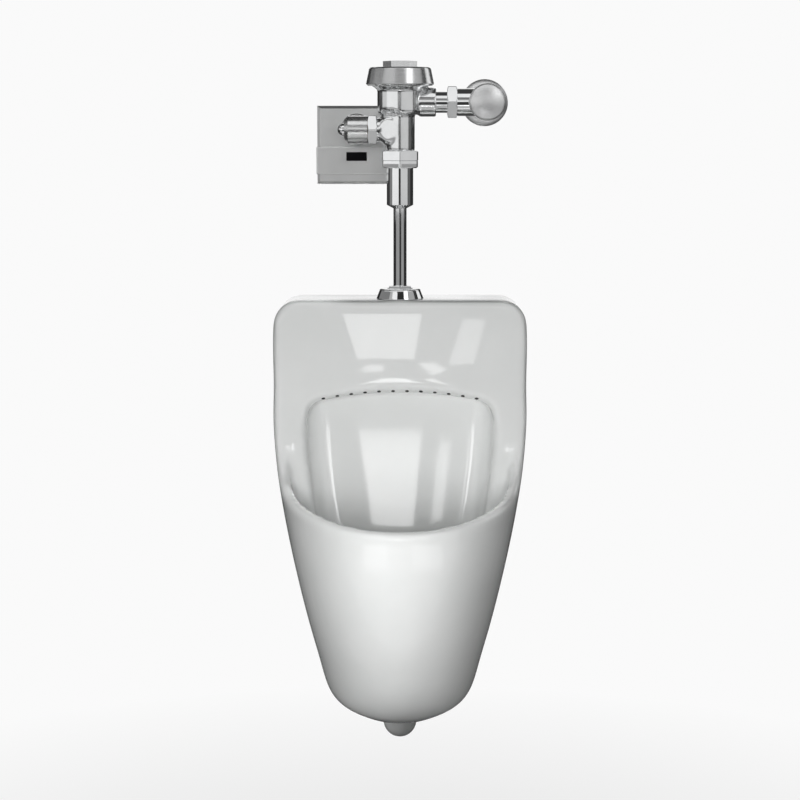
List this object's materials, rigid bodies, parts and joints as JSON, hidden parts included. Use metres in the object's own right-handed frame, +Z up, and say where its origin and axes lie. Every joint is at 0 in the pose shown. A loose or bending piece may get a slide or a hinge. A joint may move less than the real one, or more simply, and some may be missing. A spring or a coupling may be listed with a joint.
{
  "type": "wall-hung urinal",
  "caption": "Wall-hung white china urinal with scooped bowl, spray ledge and trap, and a chrome diaphragm flush valve with sensor wall plate, override button and control stop.",
  "frame": {"origin": "where the drain outlet's axis meets the finished wall", "axes": "+Z up, +Y into the wall, +X to the user's right; the user stands on the -Y side"},
  "size_m": [0.365, 0.3549, 0.9799],
  "materials": {
    "china": "glossy white glaze",
    "polished_chrome": "polished",
    "satin_chrome": "satin",
    "raw_brass": "machined",
    "steel": "plated",
    "cast_iron": "as cast",
    "rubber": "matte",
    "black_plastic": "moulded",
    "black_window": "glossy",
    "coil": "wound wire under tape"
  },
  "bodies": {
    "fixture": {"bonnet_washer": "rubber", "cap_sleeve": "black_plastic", "china_body": "china", "conduit_collar": "polished_chrome", "conduit_tube": "polished_chrome", "diaphragm": "rubber", "drain_strainer": "raw_brass", "flange_set_screw": "steel", "flush_tube": "polished_chrome", "inlet_spud": "raw_brass", "inside_cover": "black_plastic", "outlet_coupling_gasket": "rubber", "outlet_coupling_nut": "polished_chrome", "outlet_flange": "cast_iron", "outlet_gasket": "rubber", "outlet_screws": "steel", "outside_cover": "polished_chrome", "plate_frame": "steel", "plate_screws": "steel", "plunger_spring": "steel", "port_gasket": "rubber", "sensor_cover": "satin_chrome", "sensor_module": "black_plastic", "sensor_window": "black_window", "slip_gasket": "rubber", "solenoid_base": "raw_brass", "solenoid_coil": "coil", "solenoid_coupling_nut": "polished_chrome", "solenoid_housing": "polished_chrome", "solenoid_leads": "black_plastic", "spud_coupling_nut": "polished_chrome", "spud_flange": "polished_chrome", "spud_friction_ring": "raw_brass", "spud_gasket": "rubber", "spud_locknut": "raw_brass", "stop_body": "polished_chrome", "stop_bonnet": "raw_brass", "supply_cover_tube": "polished_chrome", "supply_flange": "polished_chrome", "tailpiece": "polished_chrome", "tailpiece_coupling_nut": "polished_chrome", "tailpiece_lock_ring": "steel", "tailpiece_o_ring": "rubber", "vacuum_breaker_insert": "black_plastic", "vacuum_breaker_sleeve": "rubber", "valve_body": "polished_chrome", "wall_hangers": "steel", "wall_plate": "satin_chrome"},
    "button": {"override_button": "polished_chrome"},
    "plunger": {"plunger": "steel"},
    "guide": {"diaphragm_guide": "black_plastic"},
    "relief": {"relief_valve": "black_plastic"},
    "stop_screw": {"stop_screw": "raw_brass"},
    "stop_piston": {"stop_piston": "black_plastic", "stop_seat_washer": "rubber"},
    "stop_cap": {"stop_cap": "polished_chrome"}
  },
  "joints": [
    {"name": "button_press", "type": "slide", "parent": "fixture", "child": "button", "axis": [1, 0, 0], "range_m": [0, 0.004], "stiffness_N_per_m": 600, "springref_m": -0.004},
    {"name": "plunger_push", "type": "slide", "parent": "fixture", "child": "plunger", "axis": [1, 0, 0], "range_m": [0, 0.004], "deforming": ["plunger_spring"]},
    {"name": "guide_lift", "type": "slide", "parent": "fixture", "child": "guide", "axis": [0, 0, 1], "range_m": [0, 0.005], "deforming": ["diaphragm"]},
    {"name": "relief_tilt", "type": "hinge", "parent": "guide", "child": "relief", "pos_m": [-0.009, -0.07, 0.8529], "axis": [0, -1, 0], "range_deg": [0, 3.3]},
    {"name": "stop_turn", "type": "hinge", "parent": "fixture", "child": "stop_screw", "pos_m": [0.1235, -0.07, 0.82], "axis": [0, 1, 0], "range_deg": [0, 1035]},
    {"name": "piston_slide", "type": "slide", "parent": "fixture", "child": "stop_piston", "axis": [0, 1, 0], "range_m": [0, 0.0115]},
    {"name": "cap_spin", "type": "hinge", "parent": "fixture", "child": "stop_cap", "pos_m": [0.1235, -0.1, 0.82], "axis": [0, 1, 0], "continuous": true}
  ],
  "couplings": [
    {"joint": "plunger_push", "follows": "button_press", "ratio": 1},
    {"joint": "relief_tilt", "follows": "button_press", "rad_per_m": 14.2},
    {"joint": "piston_slide", "follows": "stop_turn", "m_per_rad": 0.00063662}
  ]
}
